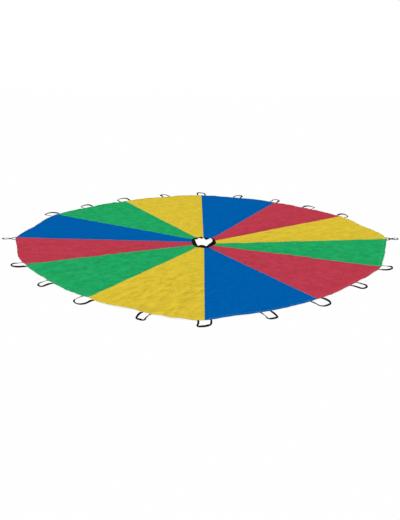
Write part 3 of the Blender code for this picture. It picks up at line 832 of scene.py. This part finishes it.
def makeWebbing():
    material, tree, shader = startMaterial("polypropyleneWebbing")
    shader.inputs["IOR"].default_value = webbingYarn["ior"]
    shader.inputs["Specular IOR Level"].default_value = webbingYarn["gloss"]
    place = addNode(tree, "ShaderNodeAttribute", {"attribute_name": "place"}).outputs["Vector"]
    # each rib is a chevron, as in a herringbone weave
    parts = addNode(tree, "ShaderNodeSeparateXYZ", {}, {0: place})
    slant = addNode(tree, "ShaderNodeMath", {"operation": "PINGPONG", 1: webbingYarn["chevronWidth"]},
                    {0: parts.outputs["X"]})
    down = addNode(tree, "ShaderNodeMath", {"operation": "ADD"},
                   {0: parts.outputs["Y"], 1: slant.outputs[0]})
    turn = addNode(tree, "ShaderNodeMath",
                   {"operation": "MULTIPLY", 1: 2 * math.pi / webbingYarn["ribDrawn"]},
                   {0: down.outputs[0]})
    rib = addNode(tree, "ShaderNodeMath", {"operation": "SINE"}, {0: turn.outputs[0]})
    fuzz = addNode(tree, "ShaderNodeTexNoise",
                   {"Scale": webbingYarn["fuzzScale"], "Detail": 2.0}, {"Vector": place})
    yarn = addNode(tree, "ShaderNodeMath", {"operation": "ADD"},
                   {0: rib.outputs[0], 1: fuzz.outputs["Fac"]})
    height = addNode(tree, "ShaderNodeMath",
                     {"operation": "MULTIPLY", 1: webbingYarn["ribHeight"] / 2}, {0: yarn.outputs[0]})
    bump = addNode(tree, "ShaderNodeBump", {"Distance": 1.0, "Strength": 0.8},
                   {"Height": height.outputs[0]})
    tree.links.new(bump.outputs[0], shader.inputs["Normal"])
    wear = addNode(tree, "ShaderNodeTexNoise",
                   {"Scale": webbingYarn["wearScale"], "Detail": 4.0}, {"Vector": place})
    # painted sheen: the rib crests are coloured lighter than the hollows between them, and worn patches
    # are lighter too
    crestSheenAndWear = addNode(tree, "ShaderNodeMath", {"operation": "MULTIPLY_ADD", 1: 0.25},
                     {0: rib.outputs[0], 2: wear.outputs["Fac"]})
    colour = addNode(tree, "ShaderNodeMix",
                     {"data_type": "RGBA", 6: linear(webbingYarn["colour"]),
                      7: linear(webbingYarn["sheenAndWear"])}, {0: crestSheenAndWear.outputs[0]})
    tree.links.new(colour.outputs[2], shader.inputs["Base Color"])
    dull = addNode(tree, "ShaderNodeMapRange",
                   {"To Min": webbingYarn["roughness"] - webbingYarn["roughnessSpread"],
                    "To Max": webbingYarn["roughness"] + webbingYarn["roughnessSpread"]},
                   {"Value": wear.outputs["Fac"]})
    tree.links.new(dull.outputs[0], shader.inputs["Roughness"])
    return material


# Spun polyester sewing thread, two plies twisted: soft satin, with a fine slant.
sewingThread = {
    "white": "#D8D5CC", "black": "#17171A", "ior": 1.57, "gloss": 0.1,
    "roughness": 0.5, "roughnessSpread": 0.1,
    "plyLength": 2.2 * mm, "plyHeight": 0.12 * mm,
}


def makeThread(colourName):
    material, tree, shader = startMaterial(f"spunPolyesterThread{colourName.title()}")
    shader.inputs["IOR"].default_value = sewingThread["ior"]
    shader.inputs["Specular IOR Level"].default_value = sewingThread["gloss"]
    place = addNode(tree, "ShaderNodeAttribute", {"attribute_name": "place"}).outputs["Vector"]
    parts = addNode(tree, "ShaderNodeSeparateXYZ", {}, {0: place})
    slant = addNode(tree, "ShaderNodeMath", {"operation": "ADD"},
                    {0: parts.outputs["X"], 1: parts.outputs["Y"]})
    turn = addNode(tree, "ShaderNodeMath",
                   {"operation": "MULTIPLY", 1: 2 * math.pi / sewingThread["plyLength"]},
                   {0: slant.outputs[0]})
    ply = addNode(tree, "ShaderNodeMath", {"operation": "SINE"}, {0: turn.outputs[0]})
    height = addNode(tree, "ShaderNodeMath",
                     {"operation": "MULTIPLY", 1: sewingThread["plyHeight"]}, {0: ply.outputs[0]})
    bump = addNode(tree, "ShaderNodeBump", {"Distance": 1.0}, {"Height": height.outputs[0]})
    tree.links.new(bump.outputs[0], shader.inputs["Normal"])
    # painted shade: the colour darkens in the grooves between the plies
    shadedTone = addNode(tree, "ShaderNodeMapRange",
                   {"From Min": -1.0, "From Max": 1.0, "To Min": 0.75, "To Max": 1.0},
                   {"Value": ply.outputs[0]})
    shadedColour = addNode(tree, "ShaderNodeVectorMath",
                    {"operation": "SCALE", 0: linear(sewingThread[colourName])[:3]},
                    {"Scale": shadedTone.outputs[0]})
    tree.links.new(shadedColour.outputs[0], shader.inputs["Base Color"])
    dull = addNode(tree, "ShaderNodeMapRange",
                   {"From Min": -1.0, "From Max": 1.0,
                    "To Min": sewingThread["roughness"] + sewingThread["roughnessSpread"],
                    "To Max": sewingThread["roughness"]}, {"Value": ply.outputs[0]})
    tree.links.new(dull.outputs[0], shader.inputs["Roughness"])
    return material


# Floor and light
studio = {
    "floorSize": 60, "floorShow": 0.85, "floorColour": (0.96, 0.96, 0.96, 1),
    "sky": 0.47, "sun": 2.70, "sunHeight": 38, "sunBearing": 325, "sunSpread": 16,
}


def makeFloor():
    half = studio["floorSize"] / 2
    mesh = bpy.data.meshes.new("floor")
    mesh.from_pydata([(-half, -half, 0), (half, -half, 0), (half, half, 0), (-half, half, 0)],
                     [], [(0, 1, 2, 3)])
    floor = bpy.data.objects.new("floor", mesh)
    bpy.context.scene.collection.objects.link(floor)
    material = bpy.data.materials.new("whiteFloor")
    material.use_nodes = True
    tree = material.node_tree
    tree.nodes.clear()
    rays = addNode(tree, "ShaderNodeLightPath", {})
    seen = addNode(tree, "ShaderNodeMath", {"operation": "MAXIMUM"},
                   {0: rays.outputs["Is Camera Ray"], 1: rays.outputs["Is Glossy Ray"]})
    seen = addNode(tree, "ShaderNodeMath", {"operation": "MAXIMUM"},
                   {0: seen.outputs[0], 1: rays.outputs["Is Transmission Ray"]})
    show = addNode(tree, "ShaderNodeMath", {"operation": "MULTIPLY", 1: studio["floorShow"]},
                   {0: seen.outputs[0]})
    white = addNode(tree, "ShaderNodeEmission", {"Color": (1, 1, 1, 1), "Strength": 1.0})
    paper = addNode(tree, "ShaderNodeBsdfDiffuse", {"Color": studio["floorColour"]})
    both = addNode(tree, "ShaderNodeMixShader", {},
                   {0: show.outputs[0], 1: paper.outputs[0], 2: white.outputs[0]})
    addNode(tree, "ShaderNodeOutputMaterial", {}, {"Surface": both.outputs[0]})
    mesh.materials.append(material)


def makeLight():
    world = bpy.data.worlds.new("studio")
    world.use_nodes = True
    bpy.context.scene.world = world
    tree = world.node_tree
    tree.nodes.clear()
    rays = addNode(tree, "ShaderNodeLightPath", {})
    seen = addNode(tree, "ShaderNodeMath", {"operation": "MAXIMUM"},
                   {0: rays.outputs["Is Camera Ray"], 1: rays.outputs["Is Glossy Ray"]})
    soft = addNode(tree, "ShaderNodeBackground", {"Color": (1, 1, 1, 1), "Strength": studio["sky"]})
    white = addNode(tree, "ShaderNodeBackground", {"Color": (1, 1, 1, 1), "Strength": 1.0})
    both = addNode(tree, "ShaderNodeMixShader", {},
                   {0: seen.outputs[0], 1: soft.outputs[0], 2: white.outputs[0]})
    addNode(tree, "ShaderNodeOutputWorld", {}, {"Surface": both.outputs[0]})
    data = bpy.data.lights.new("softSun", "SUN")
    data.energy = studio["sun"]
    data.angle = math.radians(studio["sunSpread"])
    sun = bpy.data.objects.new("softSun", data)
    tilt = Matrix.Rotation(math.radians(90 - studio["sunHeight"]), 4, "X")
    turn = Matrix.Rotation(math.radians(180 - studio["sunBearing"]), 4, "Z")
    sun.matrix_world = turn @ tilt
    bpy.context.scene.collection.objects.link(sun)


makeCamera()
makeFloor()
makeLight()
bpy.context.scene.view_settings.view_transform = "Standard"
print("camera, floor and light made")

cloths = {name: makeTaffeta(name, colour) for name, colour in taffeta["colours"].items()}
webbing = makeWebbing()
whiteThread = makeThread("white")
blackThread = makeThread("black")

for number, colour in enumerate(canopy["colours"]):
    buildGore(number, cloths[colour])
print("gores laid:", gores)
for number in range(gores):
    buildSeamStitches(number, whiteThread)
buildHemStitches(whiteThread)
print("seams and hem sewn")
buildTape(webbing)
buildTapeStitches(blackThread)
print("crown bound")
buildRimWebbing(webbing)
for number, joint in enumerate(loopJoints):
    buildLoop(number, joint, webbing)
buildTabStitches(whiteThread)
print("hand loops sewn on:", len(loopJoints))
